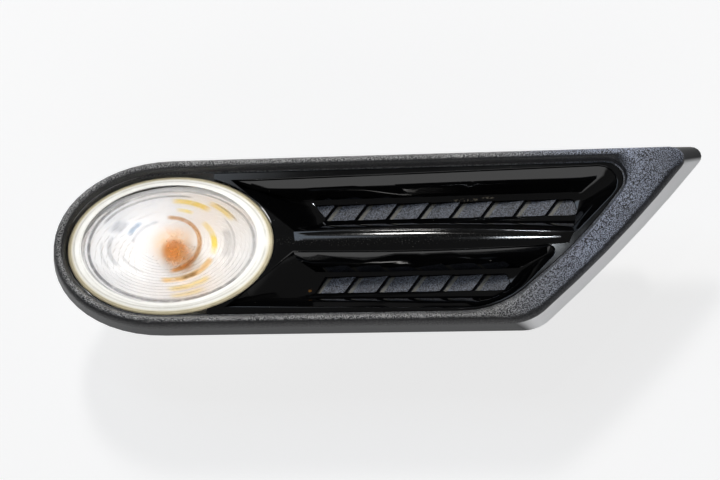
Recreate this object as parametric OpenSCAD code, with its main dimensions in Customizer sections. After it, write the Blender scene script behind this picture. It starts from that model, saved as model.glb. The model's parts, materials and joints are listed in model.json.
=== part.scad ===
// Side repeater lamp set in a grained wing trim: a clear oval lamp with an amber bulb,
// a gloss finisher with two louvred troughs, and the frame that carries them on the wing.
// Origin: shoulder of the main locating pin. +X to the slanted end, +Z up, -Y outwards.
// The drawing modules work face on: x to the slanted end, y up, z outwards from the wing.

/* [Trim frame] */
// Length over the rim, nose to tip
trim_l = 260; // [244:1:290]
// Height over the rim
trim_h = 73.6; // [70:0.2:80]
// Lamp axis to the end of the nose
nose_l = 49.2; // [48.4:0.1:54]
// Bluntness of the nose, 2 is an ellipse
nose_power = 2.05; // [2:0.01:2.2]
// Angle between the slanted end and the long edges
end_angle = 46.9; // [42:0.5:54]
// Outward bow of the slanted end
end_bow = 1.6; // [0:0.1:2]
// Fillet of the sharp tip
tip_r = 4; // [2:0.1:6]
// Fillet of the obtuse lower corner
low_r = 15; // [8:0.5:22]
// Height of the rim's crest above the wing
crest_d = 7.6; // [7:0.1:9]
// Height of the rim's inner edge above the wing
edge_d = 5; // [4.4:0.1:6]
// Height of the drafted skirt
skirt_d = 4.2; // [3:0.1:5]
// Draft of the skirt over its height
skirt_in = 1.5; // [0.8:0.1:1.8]
// Width of the rim along the long edges and the nose
rim_w = 6.2; // [5.6:0.1:7]
// Width of the rim along the slanted end
end_w = 13.5; // [10:0.5:16]
// Width of the rounded shoulder along the slanted end
end_round = 6; // [4:0.5:7]
// Wall of the rim
rim_t = 2.2; // [1.6:0.1:2.6]
// Width of the smooth step inside the rim
step_w = 0.9; // [0.7:0.1:1]
// Drop from the rim's inner edge to the step
step_drop = 0.6; // [0.3:0.1:1]

/* [Pan] */
// Depth of the pan's back behind the wing face
pan_depth = 10.8; // [10:0.2:14]
// Thickness of the pan floor
pan_t = 1.8; // [1.4:0.1:2.4]
// Thickness of the pan's side wall
pan_wall = 1.8; // [1.2:0.1:2.2]
// Pitch of the louvre blades
louvre_pitch = 12.7; // [10:0.1:16]
// Lean of the louvre blades from upright
louvre_lean = 36; // [20:1:42]
// Height of a louvre's leading edge over the pan floor
louvre_h = 2.6; // [1.6:0.1:2.6]
// Gap between neighbouring blades
louvre_gap = 1.1; // [0.6:0.1:2]

/* [Gloss finisher] */
// Gap around the finisher's lip
lip_gap = 0.3; // [0.2:0.05:0.6]
// Width of the finisher's flat lip
lip_w = 0.5; // [0.4:0.1:1]
// Run of the band that starts each trough's wall
band_w = 3; // [2:0.1:3.1]
// Drop of that band
band_h = 3.2; // [2.5:0.1:4]
// Height of the slots' edge above the pan floor
slot_edge_h = 2.7; // [2.5:0.1:3.4]
// Height of a slot
slot_h = 6.8; // [5:0.1:7.6]
// Distance of both slots from the centreline
slot_y = 11.8; // [11:0.1:13]
// Lens to the slots' left end
slot_gap = 15.4; // [14.4:0.1:19]
// Upper slot to the slanted end, along the centreline
upper_slot_in = 18.8; // [17:0.2:30]
// Lower slot to the slanted end, along the centreline
lower_slot_in = 44.8; // [43:0.2:58]
// Half width of the spine's crest at its root
spine_w = 3.9; // [3:0.1:4.6]
// Swelling of the crest on each side, halfway along
spine_bulge = 1.1; // [0:0.1:1.6]
// Height of the crest's crown
spine_crown = 0.9; // [0.4:0.1:1.4]
// Lens to the root of the spine
spine_gap = 7.9; // [6.4:0.1:11]
// Wall left over the hollows on the finisher's back
finisher_t = 2.2; // [1.6:0.1:2.6]

/* [Lamp] */
// Border between the oval lens and the nose
nose_border = 6.6; // [6.4:0.1:9]
// Border above and below the lens
long_border = 7.6; // [7.2:0.1:10]
// Gap between the lens and the trim around it
lens_gap = 0.4; // [0.2:0.05:0.6]
// Height of the lens edge above the wing
lens_edge_d = 2.6; // [1.6:0.1:3.4]
// Height of the lens crown above the wing
lens_crown_d = 8.6; // [7:0.1:11]
// Wall of the lens
lens_t = 2; // [1.6:0.1:2.4]
// Number of optic rings inside the lens
optic_rings = 9; // [5:1:12]
// Depth of the optic rings
optic_h = 0.5; // [0.2:0.1:0.8]
// Depth of the lamp housing's seat behind the wing
housing_depth = 24; // [23:0.5:27]
// Wall of the lamp housing
housing_t = 1.8; // [1.4:0.1:2.2]
// Wall of the reflector
reflector_t = 1.2; // [0.8:0.1:1.6]
// Diameter of the bulb glass
bulb_dia = 10; // [9:0.1:10.6]
// Length of the bulb with its pinched base
bulb_l = 26.8; // [24:0.2:28]
// Diameter of the bulb holder's barrel
barrel_dia = 16.4; // [15:0.1:18]
// Height of the connector shroud
shroud_l = 11; // [9:0.5:14]

/* [Fixings] */
// Lamp axis to the main locating pin
pin_x = 77; // [70:0.5:84]
// Main locating pin to the second locating pin
pin_pitch = 42; // [36:0.5:46]
// Diameter of the main locating pin
pin_dia = 5; // [4:0.1:6]
// Diameter of the second locating pin
small_pin_dia = 4; // [3:0.1:5]
// Length of the locating pins
pin_l = 13; // [8:0.5:18]
// Diameter of the screws
screw_dia = 2.6; // [2.2:0.1:3]
// Length of the screws under the head
screw_l = 9; // [8:0.5:10]
// Width of a spring clip
clip_w = 8; // [6:0.5:10]
// Reach of a spring clip behind the pan
clip_l = 13; // [10:0.5:16]
// Thickness of the clips' spring steel
clip_t = 0.8; // [0.5:0.1:1]
// Thickness of the foam gasket under the rim
gasket_t = 1; // [0.6:0.1:2]
// Width of the foam gasket
gasket_w = 1.8; // [1.4:0.1:2]

/* [Hidden] */

grained = [0.13, 0.13, 0.14];
gloss = [0.03, 0.03, 0.035];
clear = [0.88, 0.9, 0.92];
cream = [0.86, 0.8, 0.62];
silver = [0.82, 0.82, 0.84];
amber = [0.95, 0.5, 0.1];
steel = [0.62, 0.63, 0.65];
foam = [0.22, 0.22, 0.23];

edge_n = 6;       // points along each long edge of the outline
corner_n = 6;     // steps round each corner of the outline
end_n = 5;        // steps up the slanted end
nose_n = 26;      // steps round the nose
bead_n = 7;       // steps over the rim's bead
oval_n = 56;      // points round each oval
trough_n = 18;    // steps along a trough's long sides

run = 1 / tan(end_angle);
end_bow_dir = [sin(end_angle), -cos(end_angle)];
tip_back = tip_r * (tan(90 - end_angle / 2) - 1);   // what the tip's fillet takes off the length
end_x = trim_l - nose_l + tip_back - trim_h / 2 * run;
mouth_w = rim_w + step_w;           // from the outside to the pan's mouth, long edges
mouth_end = end_w + step_w;         // the same at the slanted end
mouth_d = edge_d - step_drop;
pan_floor = -pan_depth + pan_t;
open_tip_r = 8;                     // fillets of the rim's opening
open_low_r = 38;

lens_a = nose_l - nose_border;      // half the length and half the height of the lens
lens_b = trim_h / 2 - long_border;
lens_foot = -1;                     // underside of the lens edge
tongue_in = 1.2;                    // lens edge to the tongue in the seal
tongue_t = 1.6;
tongue_d = -2.4;
channel_d = -3.8;                   // floor of the seal channel
fit = 0.2;                          // running gap between parts that slide together
channel_out = tongue_in - fit;      // insets of the seal channel's two walls
channel_in = tongue_in + tongue_t + fit;
lip_in = channel_in + 0.9;          // inner face of the channel's inner lip
lip_drop = 0.8;                     // that lip stops short of the lens
flange_in = channel_in + 0.2;

slot_edge_d = pan_floor + slot_edge_h;
slot_x = lens_a + slot_gap;
upper_slot_end = end_x - upper_slot_in;
lower_slot_end = end_x - lower_slot_in;
spine_x = lens_a + spine_gap;
lip_side = mouth_w + lip_gap + lip_w;
lip_end = mouth_end + lip_gap + lip_w;
spine_tip = end_x - lip_end / sin(end_angle);
first_blade = [5.8, 2.4];           // from a slot's left end to a whole blade, upper and lower
spine_tip_w = [1.2, 3.2];           // the crest at its tip, above and below the centreline
finisher_out = mouth_w + lip_gap;
finisher_end_out = mouth_end + lip_gap;
screw_r = screw_dia / 2;
pilot_r = screw_r + 0.05;
screw_hole_r = screw_r + 0.4;
post_r = screw_r + 1.7;
head_r = screw_dia;
head_h = screw_dia * 0.7;
spine_end_l = 29;                   // from the last screw to the spine's tip
yoke_screw = 3.4;                   // from the lens's end, and from the centreline
finisher_screws = [[spine_x + 9.5, 0], [pin_x + pin_pitch / 2, 0], [spine_tip - spine_end_l, 0],
                   [lens_a + yoke_screw, yoke_screw], [lens_a + yoke_screw, -yoke_screw]];
finisher_bite = screw_l - pan_t;    // how far a screw reaches into the finisher

ear_x = lens_a + 8;
ear_y = 12;
ear_t = 2.4;
boss_h = screw_l - ear_t - pan_t + 0.4;   // the screws end inside the pan
lamp_screws = [[ear_x, ear_y], [ear_x, -ear_y]];

seat_r = barrel_dia / 2 + fit;      // bore in the housing's seat
flange_r = barrel_dia / 2 + 5;
seat_t = 3;
seat_back = -housing_depth - seat_t;
seal_t = 1.6;
holder_flange_d = seat_back - seal_t;
holder_flange_t = 3;
holder_back = holder_flange_d - holder_flange_t;
pinch_w = bulb_dia * 0.86;
pinch_t = 2.4;
pinch_l = 6;
bulb_r = bulb_dia / 2;
reflector_hole_r = barrel_dia / 2 + 0.6;
shroud_w = 19;
shroud_t = 1.5;
shroud_h = 11;
blade_w = 2.8;
blade_t = 0.8;
blade_gap = 8;
blade_l = shroud_l - 2.5;
blade_root = 3;
pocket_d = holder_back + blade_root + 1;   // floor of the bulb's pocket in the holder
bulb_base_d = pocket_d + pinch_l;
bulb_tip_d = pocket_d + bulb_l;
hook_d = -4;                        // underside of the catch behind the nose
hook_w = 9;
hook_t = 1.8;
gasket_in = 0.6;
hook_in = gasket_in + gasket_w + 1;  // the catch and the hook stay clear of the gasket

clip_y = trim_h / 2 - 17.8;
clip_places = [[pin_x - 9, clip_y], [pin_x - 9, -clip_y], [upper_slot_end - 6, clip_y],
               [lower_slot_end - 8, -clip_y]];
tower_w = clip_w - 2;
tower_t = 3;
tower_h = clip_l - clip_t - fit;
clip_flare = 2.2;

// Places what was drawn face on in the part's own frame
module seat() { translate([-pin_x, -pan_depth, 0]) rotate([90, 0, 0]) children(); }

// Points of the arc that rounds corner p, entered along angle from, turning left by turn
function corner(p, from, turn, r, n) =
  let (m = p + r * [-tan(turn / 2) * cos(from) - sin(from), cos(from) - tan(turn / 2) * sin(from)])
  [for (i = [0:n]) m + r * [sin(from + turn * i / n), -cos(from + turn * i / n)]];

// Outline of the trim with its long edges and its slanted end moved in
function outline(side, end, tip, low) =
  let (h = trim_h / 2 - side, a = nose_l - side, sx = end_x - end / sin(end_angle),
       low_arc = corner([sx - h * run, -h], 0, end_angle, low, corner_n),
       tip_arc = corner([sx + h * run, h], end_angle, 180 - end_angle, tip, corner_n),
       p = low_arc[corner_n], q = tip_arc[0])
  concat([for (i = [0:edge_n - 1]) [low_arc[0][0] * i / edge_n, -h]],
         low_arc,
         [for (i = [1:end_n - 1]) let (u = i / end_n)
           p + (q - p) * u + end_bow * 4 * u * (1 - u) * end_bow_dir],
         tip_arc,
         [for (i = [1:edge_n - 1]) [tip_arc[corner_n][0] * (1 - i / edge_n), h]],
         [for (i = [0:nose_n - 1]) let (t = 90 + 180 * i / nose_n)
           [-a * pow(abs(cos(t)), 2 / nose_power),
            h * sign(sin(t)) * pow(abs(sin(t)), 2 / nose_power)]]);

// Fillets of the outline at a given inset from the outside
function tip_at(side) = tip_r + (open_tip_r - tip_r) * min(1, side / rim_w) - max(0, side - rim_w);
function low_at(side) = low_r + (open_low_r - low_r) * min(1, side / rim_w) - max(0, side - rim_w);
function ring(row) = [for (p = outline(row[1], row[2], tip_at(row[1]), low_at(row[1])))
                       [p[0], p[1], row[0]]];
function oval(a, b, d) = [for (i = [0:oval_n - 1]) let (t = 360 * i / oval_n) [a * cos(t), b * sin(t), d]];

// Solid between rings of equal count, closed by a fan at both ends; the rings rise anticlockwise
function middle(r) = [for (p = r) 1 / len(r)] * r;
module loft(rings) {
  n = len(rings[0]);
  m = len(rings);
  polyhedron(points = concat([for (r = rings) each r], [middle(rings[0]), middle(rings[m - 1])]),
             faces = concat([for (i = [0:n - 1]) [m * n, i, (i + 1) % n]],
                            [for (j = [0:m - 2], i = [0:n - 1])
                              [j * n + i, (j + 1) * n + i, (j + 1) * n + (i + 1) % n, j * n + (i + 1) % n]],
                            [for (i = [0:n - 1]) [m * n + 1, (m - 1) * n + (i + 1) % n, (m - 1) * n + i]]),
             convexity = 8);
}

// Closed tube whose section runs through the rings and back to the first one
module ring_loft(rings) {
  n = len(rings[0]);
  m = len(rings);
  polyhedron(points = [for (r = rings) each r],
             faces = [for (j = [0:m - 1], i = [0:n - 1]) let (k = (j + 1) % m, l = (i + 1) % n)
                       [j * n + i, k * n + i, k * n + l, j * n + l]], convexity = 8);
}

// Rim from its foot over the bead to the step; rows are height, inset, inset at the slanted end.
// Along the slanted end the bead widens to a flat between its shoulder and its inner edge
skirt_end = skirt_in * 1.9;
function end_inset(u) = u < 0.5 ? skirt_end + (end_round - skirt_end) * u * 2
                                : end_w - (rim_w - skirt_in) * 0.6 * (1 - u);
rim_outside = concat(
  [[0, 0, 0]],
  [for (i = [0:bead_n]) let (t = 180 * i / bead_n, u = (1 - cos(t)) / 2)
    [skirt_d + (edge_d - skirt_d) * u + (crest_d - edge_d) * sin(t),
     skirt_in + (rim_w - skirt_in) * u, end_inset(u)]],
  [[mouth_d, rim_w + step_drop / 2, end_w + step_drop / 2], [mouth_d, mouth_w, mouth_end]]);
// Pan wall and the underside of the rim, back to the foot
rim_inside = [
  [pan_floor - pan_t / 2, mouth_w, mouth_end],
  [pan_floor - pan_t / 2, mouth_w - pan_wall, mouth_end - pan_wall],
  [mouth_d - rim_t, mouth_w - pan_wall, mouth_end - pan_wall],
  [skirt_d, skirt_in + rim_t, skirt_end + rim_t],
  [0, rim_t, rim_t]];

// Edge of the spine's crest, from its root to its tip
function crest_tip(up) = let (y = spine_tip_w[up ? 0 : 1]) [spine_tip + (up ? y : -y) * run, y];
function crest_at(up, u) =
  [spine_x, spine_w] * (1 - u) + crest_tip(up) * u + [0, spine_bulge * sin(180 * u)];

// Slot and trough outlines: level 0 is the slot's edge, level 1 the lip
function trough(up, level, inset = 0) =
  let (far = up ? upper_slot_end : lower_slot_end, h = trim_h / 2 - lip_side,
       foot_l = [slot_x + 4 + inset, slot_y + inset],
       foot_r = [far - (up ? 0 : 2.5) - inset, slot_y + inset],
       top_r = [far - (up ? 2 : 0) - inset, slot_y + slot_h - inset],
       top_l = [slot_x - (up ? 1 : 0) + inset, slot_y + slot_h - inset],
       crest_top_r = [spine_tip + (up ? 1 : -1) * h * run, h],
       crest_top_l = [lens_a * 0.56, lens_b * 0.91],
       b = foot_r + (crest_tip(up) - foot_r) * level, c = top_r + (crest_top_r - top_r) * level,
       d = top_l + (crest_top_l - top_l) * level, a = foot_l + (crest_at(up, 0) - foot_l) * level,
       r_c = up ? 2 + 5.4 * level : 2.4 + 33.8 * level,
       round_r = up ? 1.6 + 2 * level : 2 + 1.2 * level,
       at_b = atan2((c - b)[1], (c - b)[0]),
       low = [for (i = [0:trough_n - 1]) let (u = 0.95 * i / trough_n)
               (foot_l + (foot_r - foot_l) * u) * (1 - level) + crest_at(up, u) * level],
       arc_b = corner(b, 0, (at_b + 360) % 360, round_r, 4),
       arc_c = corner(c, at_b, 180 - at_b, r_c, 6))
  concat(low, arc_b, arc_c,
         [for (i = [1:trough_n - 1]) let (u = i / trough_n) arc_c[6] + (d - arc_c[6]) * u],
         [d, d + (a - d) * 0.25, d + (a - d) * 0.5, d + (a - d) * 0.75]);
function turned(points, up) =
  up ? points : [for (i = [len(points) - 1:-1:0]) [points[i][0], -points[i][1]]];
function inset_ring(r, t) = let (n = len(r))
  [for (i = [0:n - 1]) let (run = r[(i + 1) % n] - r[(i + n - 1) % n])
    r[i] + t / norm(run) * [-run[1], run[0]]];
function at_depth(r, up, d) = [for (p = turned(r, up)) [p[0], p[1], d]];

// The moulded-in scoop: a rolled edge, a band, a steep wall, and a ledge round the slot
roll = 0.6;
ledge_h = 0.8;
module trough_cut(up) {
  slot = trough(up, 0);
  lip = trough(up, 1);
  foot = inset_ring(lip, band_w);
  foot_d = mouth_d - band_h;
  ledge_d = slot_edge_d + ledge_h;
  loft(concat(
    [at_depth(slot, up, pan_floor - 1), at_depth(slot, up, slot_edge_d)],
    [for (u = [0.35, 0.7]) at_depth(slot + (foot - slot) * u, up,
                                    ledge_d + (foot_d - ledge_d) * (u - 0.35) / 0.65)],
    [at_depth(foot, up, foot_d)],
    [for (t = [75, 45, 15])
      at_depth(inset_ring(lip, roll * sin(t)), up, mouth_d - roll * (1 - cos(t)) * 2)],
    [at_depth(lip, up, mouth_d - 0.01), at_depth(lip, up, mouth_d + 2)]));
}

// Blades that lean like a gill: each rises to its right edge and ends in a gap
module louvres(up) {
  far = up ? upper_slot_end : lower_slot_end;
  blade = louvre_pitch - louvre_gap;
  intersection() {
    translate([0, 0, pan_floor - pan_t / 2]) linear_extrude(louvre_h + pan_t)
      polygon(turned(trough(up, 0, fit), up));
    for (i = [-1:ceil((far - slot_x) / louvre_pitch)])
      translate([slot_x + first_blade[up ? 0 : 1] + i * louvre_pitch,
                 (up ? 1 : -1) * (slot_y + slot_h / 2), pan_floor])
        rotate([0, 0, -louvre_lean]) rotate([90, 0, 0])
          linear_extrude(4 * slot_h, center = true)
            polygon([[0, -pan_t / 3], [blade * cos(louvre_lean), -pan_t / 3],
                     [blade * cos(louvre_lean), louvre_h], [0, louvre_h * 0.45]]);
  }
}

module lamp_hole(from, to) {
  translate([0, 0, from]) linear_extrude(to - from)
    polygon([for (p = oval(lens_a + lens_gap, lens_b + lens_gap, 0)) [p[0], p[1]]]);
}

module pan_plate() {
  inset = mouth_w - pan_wall - 0.5;
  translate([0, 0, -pan_depth]) linear_extrude(pan_t)
    polygon(outline(inset, mouth_end - pan_wall - 0.5, open_tip_r, open_low_r));
}

module clip_tower() {
  translate([-tower_w / 2, -tower_t / 2, -pan_depth - tower_h]) cube([tower_w, tower_t, tower_h + pan_t / 2]);
}

// Block behind the nose that the lamp's hook slides under
module nose_catch() {
  translate([-nose_l + hook_in, -hook_w * 0.6, hook_d])
    cube([nose_l - hook_in - lens_a, hook_w * 1.2, edge_d - rim_t / 2 - hook_d]);
}

// Way in for the lamp's hook, from the back up to the catch
module hook_window() {
  translate([-nose_l + hook_in, -hook_w / 2 - fit, -pan_depth - 1])
    cube([nose_l - hook_in - lens_a + 1, hook_w + 2 * fit, pan_depth + 1 + hook_d]);
}

module trim_frame() {
  color(grained) seat() {
    difference() {
      union() {
        ring_loft([for (row = concat(rim_outside, rim_inside)) ring(row)]);
        pan_plate();
        for (up = [true, false]) louvres(up);
        for (p = lamp_screws) translate([p[0], p[1], -pan_depth - boss_h])
          cylinder(r = post_r, h = boss_h + pan_t / 2, $fn = 40);
        for (p = clip_places) translate([p[0], p[1], 0]) clip_tower();
        nose_catch();
        translate([pin_x, 0, -pan_depth - pin_l]) cylinder(d = pin_dia, h = pin_l + pan_t / 2, $fn = 48);
        translate([pin_x + pin_pitch, 0, -pan_depth - pin_l])
          cylinder(d = small_pin_dia, h = pin_l + pan_t / 2, $fn = 48);
      }
      lamp_hole(-pan_depth - 1, crest_d + 1);
      hook_window();
      for (p = finisher_screws) translate([p[0], p[1], -pan_depth - 1])
        cylinder(r = screw_hole_r, h = pan_t + 2, $fn = 32);
      for (p = lamp_screws) translate([p[0], p[1], -pan_depth - boss_h - 1])
        cylinder(r = pilot_r, h = boss_h + pan_t + 4, $fn = 32);
    }
  }
}

// Crown along the crest of the spine; it dies out at the crest's edges
module crown() {
  n = 16;
  function edge(u, k) = let (p = crest_at(true, u), q = crest_at(false, u), mid = (p[1] - q[1]) / 2,
                             half = (p[1] + q[1]) / 2)
    [(p[0] + q[0]) / 2 + (1 - k) * (spine_w + spine_bulge) * (1 - 2 * u), mid, half * k];
  function rim(k, d) = concat(
    [for (i = [0:n]) let (e = edge(i / n, k)) [e[0] + (i == n && k == 1 ? -1 : 0), e[1] - e[2], d]],
    [for (i = [n:-1:0]) let (e = edge(i / n, k)) [e[0] + (i == n && k == 1 ? 1 : 0), e[1] + e[2], d]]);
  loft(concat([rim(1, mouth_d - 1), rim(1, mouth_d - 0.01)],
              [for (k = [0.85, 0.65, 0.4, 0.15]) rim(k, mouth_d + spine_crown * (1 - k * k))]));
}

// Long hollow under the spine, and one under each long lip
module spine_hollow() {
  top = mouth_d - finisher_t;
  wide = slot_y - finisher_t * 1.3;
  narrow = spine_w - 1;
  translate([spine_x + 5, 0, 0]) rotate([90, 0, 90]) linear_extrude(spine_tip - spine_x - spine_end_l)
    polygon([[-wide, pan_floor - 1], [wide, pan_floor - 1], [wide, pan_floor + 0.6],
             [narrow, top], [-narrow, top], [-wide, pan_floor + 0.6]]);
}

module lip_hollow(up) {
  out = trim_h / 2 - finisher_out - finisher_t * 0.8;
  foot = slot_y + slot_h + finisher_t * 1.2;
  far = up ? upper_slot_end : lower_slot_end - 8;
  translate([slot_x, 0, 0]) rotate([90, 0, 90]) linear_extrude(far - slot_x - 12) mirror([up ? 0 : 1, 0])
    polygon([[foot, pan_floor - 1], [out, pan_floor - 1], [out, mouth_d - finisher_t * 1.6],
             [foot, pan_floor + 0.6]]);
}

module gloss_finisher() {
  color(gloss) seat() {
    difference() {
      union() {
        difference() {
          translate([0, 0, pan_floor]) linear_extrude(mouth_d - pan_floor)
            polygon(outline(finisher_out, finisher_end_out, tip_at(finisher_out), low_at(finisher_out)));
          spine_hollow();
          for (up = [true, false]) lip_hollow(up);
        }
        for (p = finisher_screws) translate([p[0], p[1], pan_floor]) cylinder(r = post_r,
          h = mouth_d - pan_floor - finisher_t / 2, $fn = 32);
        crown();
      }
      for (up = [true, false]) trough_cut(up);
      lamp_hole(pan_floor - 1, mouth_d + 1);
      translate([-nose_l, -trim_h / 2, pan_floor - 1])
        cube([nose_l + lens_a * 0.4, trim_h, crest_d + pan_depth]);
      for (p = finisher_screws) translate([p[0], p[1], pan_floor - 1])
        cylinder(r = pilot_r, h = finisher_bite + 1.3, $fn = 32);
    }
  }
}

module screw(p, under_head) {
  color(steel) seat() translate([p[0], p[1], under_head]) {
    cylinder(r = screw_r, h = screw_l - screw_r, $fn = 32);
    translate([0, 0, screw_l - screw_r]) cylinder(r1 = screw_r, r2 = screw_r * 0.3, h = screw_r, $fn = 32);
    difference() {
      translate([0, 0, -head_h]) cylinder(r1 = head_r * 0.8, r2 = head_r, h = head_h, $fn = 40);
      for (a = [0, 90]) rotate([0, 0, a])
        translate([-head_r * 0.5, -head_r * 0.1, -head_h - 1])
          cube([head_r, head_r * 0.2, 1 + head_h * 0.55]);
    }
  }
}

// Clear dome; rows are inset from the lens edge as a share of its size, and height
module lamp_lens() {
  in_a = lens_a - tongue_in;
  in_b = lens_b - tongue_in;
  dome = lens_crown_d - lens_edge_d;
  function crown(k) = lens_edge_d + dome * (0.22 * (1 - pow(k, 12)) + 0.78 * (1 - k * k));
  function at(k, d) = oval(lens_a * k, lens_b * k, d);
  k_in = 1 - (tongue_in + tongue_t) / lens_b;
  rise = [for (k = [0.99, 0.97, 0.93, 0.86, 0.75, 0.6, 0.45, 0.3, 0.15, 0.03]) at(k, crown(k))];
  optic = [for (i = [0:optic_rings - 1]) let (k = 0.06 + (k_in - 0.08) * i / optic_rings,
             k2 = 0.06 + (k_in - 0.08) * (i + 0.9) / optic_rings)
            each [at(k, crown(k) - lens_t), at(k2, crown(k2) - lens_t - optic_h)]];
  color(clear, 0.5) seat() ring_loft(concat(
    [oval(in_a, in_b, tongue_d), oval(in_a, in_b, lens_foot), at(1, lens_foot), at(1, lens_edge_d)],
    rise, [at(0.001, lens_crown_d), at(0.001, lens_crown_d - lens_t)], optic,
    [oval(in_a - tongue_t, in_b - tongue_t, lens_edge_d - lens_t),
     oval(in_a - tongue_t, in_b - tongue_t, tongue_d)]));
}

// Cream sealant bead at the bottom of the housing's channel
module lens_seal() {
  function off(o, d) = oval(lens_a - o, lens_b - o, d);
  color(cream) seat() ring_loft([off(channel_out, channel_d), off(channel_out, tongue_d),
                                 off(channel_in, tongue_d), off(channel_in, channel_d)]);
}

// Lamp bowl: channel for the lens, oval shell, round seat for the bulb holder, ears and nose hook
module lamp_housing() {
  floor_d = -housing_depth - seat_t / 2;
  knee_d = channel_d - housing_t;
  outer_r = flange_r - 1;
  inner_r = seat_r + 1.6;
  ear_d = -pan_depth - boss_h - ear_t;
  function off(o, d) = oval(lens_a - o, lens_b - o, d);
  function belly(u) = 1 - pow(1 - u, 2.4);
  function bowl(o, r, u, d) = oval((lens_a - o) * (1 - u) + r * u, (lens_b - o) * (1 - u) + r * u, d);
  color([0.75, 0.74, 0.7]) seat() difference() {
    union() {
      ring_loft(concat(
        [oval(inner_r, inner_r, floor_d), oval(outer_r, outer_r, floor_d)],
        [for (u = [0.88, 0.65, 0.4, 0.2, 0.08]) bowl(0, outer_r, u, knee_d + (floor_d - knee_d) * belly(u))],
        [off(0, knee_d), off(0, lens_foot), off(channel_out, lens_foot), off(channel_out, channel_d),
         off(channel_in, channel_d), off(channel_in, lens_foot - lip_drop), off(lip_in, lens_foot - lip_drop),
         off(lip_in, knee_d + housing_t / 2)],
        [for (u = [0.08, 0.2, 0.4, 0.65, 0.88]) bowl(lip_in, inner_r, u,
          knee_d + housing_t + (floor_d - knee_d) * belly(u))]));
      translate([0, 0, seat_back]) cylinder(r = flange_r, h = seat_t, $fn = 64);
      for (p = lamp_screws) {
        translate([p[0], p[1], ear_d]) cylinder(r = post_r, h = ear_t, $fn = 40);
        translate([lens_a * 0.66, p[1] - post_r, ear_d]) cube([p[0] - lens_a * 0.66, 2 * post_r, ear_t]);
      }
      translate([-nose_l + hook_in + fit, -hook_w / 2, hook_d - hook_t])
        cube([nose_l - hook_in - fit - lens_a + 1.6, hook_w, hook_t]);
    }
    translate([0, 0, seat_back - 1]) cylinder(r = seat_r, h = seat_t + 3, $fn = 64);
    for (p = lamp_screws) translate([p[0], p[1], ear_d - 1]) cylinder(r = screw_hole_r, h = ear_t + 2, $fn = 32);
  }
}

// Vacuum-metallised bowl with a round hole for the bulb; its flange rests on the housing's lip
module reflector() {
  o = lip_in + fit;
  seat_d = lens_foot - lip_drop;
  floor_d = -housing_depth + 4;
  function bowl(extra, u, d) = oval((lens_a - o) * u + reflector_hole_r * (1 - u) - extra * u,
                                    (lens_b - o) * u + reflector_hole_r * (1 - u) - extra * u, d);
  steps = [0, 0.15, 0.3, 0.45, 0.6, 0.75, 0.88, 1];
  n = len(steps);
  color(silver) seat() ring_loft(concat(
    [for (u = steps) bowl(0, u, floor_d + (seat_d - floor_d - 2) * pow(u, 1.7) - reflector_t * (1 - u * 0.4))],
    [bowl(0, 1, seat_d), oval(lens_a - flange_in, lens_b - flange_in, seat_d),
     oval(lens_a - flange_in, lens_b - flange_in, seat_d + reflector_t * 0.6),
     bowl(reflector_t * 0.8, 1, seat_d + reflector_t * 0.6)],
    [for (i = [n - 1:-1:0]) bowl(reflector_t * 0.8, steps[i], floor_d
      + (seat_d - floor_d - 2) * pow(steps[i], 1.7))]));
}

// Amber glass with its pinched wedge base, one sealed solid
module bulb() {
  color(amber, 0.8) seat() {
    translate([0, 0, bulb_tip_d - bulb_r]) {
      rotate_extrude($fn = 48) intersection() { circle(r = bulb_r, $fn = 48); square(bulb_dia); }
      translate([0, 0, bulb_base_d - bulb_tip_d + bulb_r])
        cylinder(r = bulb_r, h = bulb_tip_d - bulb_r - bulb_base_d, $fn = 48);
    }
    translate([-pinch_w / 2, -pinch_t / 2, bulb_base_d - pinch_l]) cube([pinch_w, pinch_t, pinch_l + 0.5]);
  }
}

module bulb_holder() {
  color([0.16, 0.16, 0.17]) seat() {
    difference() {
      union() {
        translate([0, 0, holder_back]) cylinder(d = barrel_dia, h = bulb_base_d - holder_back - fit, $fn = 64);
        translate([0, 0, holder_back]) cylinder(r = flange_r, h = holder_flange_t, $fn = 64);
        for (a = [0, 180]) rotate([0, 0, a]) translate([flange_r - 3, -2, holder_back - 4]) cube([4, 4, 6]);
        translate([-shroud_w / 2, -shroud_h / 2, holder_back - shroud_l]) cube([shroud_w, shroud_h, shroud_l + 1]);
      }
      translate([-shroud_w / 2 + shroud_t, -shroud_h / 2 + shroud_t, holder_back - shroud_l - 1])
        cube([shroud_w - 2 * shroud_t, shroud_h - 2 * shroud_t, shroud_l + 1]);
      translate([-pinch_w / 2 - fit, -pinch_t / 2 - fit, bulb_base_d - pinch_l])
        cube([pinch_w + 2 * fit, pinch_t + 2 * fit, pinch_l + 1]);
      for (s = [-1, 1]) translate([s * blade_gap / 2 - blade_w / 2, -blade_t / 2, holder_back - 1])
        cube([blade_w, blade_t, blade_root + 1]);
    }
  }
}

module holder_seal() {
  color(foam) seat() translate([0, 0, holder_flange_d]) difference() {
    cylinder(r = flange_r - 0.6, h = seal_t, $fn = 64);
    translate([0, 0, -1]) cylinder(r = barrel_dia / 2 + fit / 2, h = seal_t + 2, $fn = 64);
  }
}

module contact_blade(side) {
  color([0.78, 0.7, 0.5]) seat() translate([side * blade_gap / 2, 0, holder_back - blade_l])
    rotate([90, 0, 0]) linear_extrude(blade_t, center = true)
      polygon([[-blade_w / 2, blade_w / 3], [-blade_w / 4, 0], [blade_w / 4, 0], [blade_w / 2, blade_w / 3],
               [blade_w / 2, blade_l + blade_root], [-blade_w / 2, blade_l + blade_root]]);
}

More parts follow.
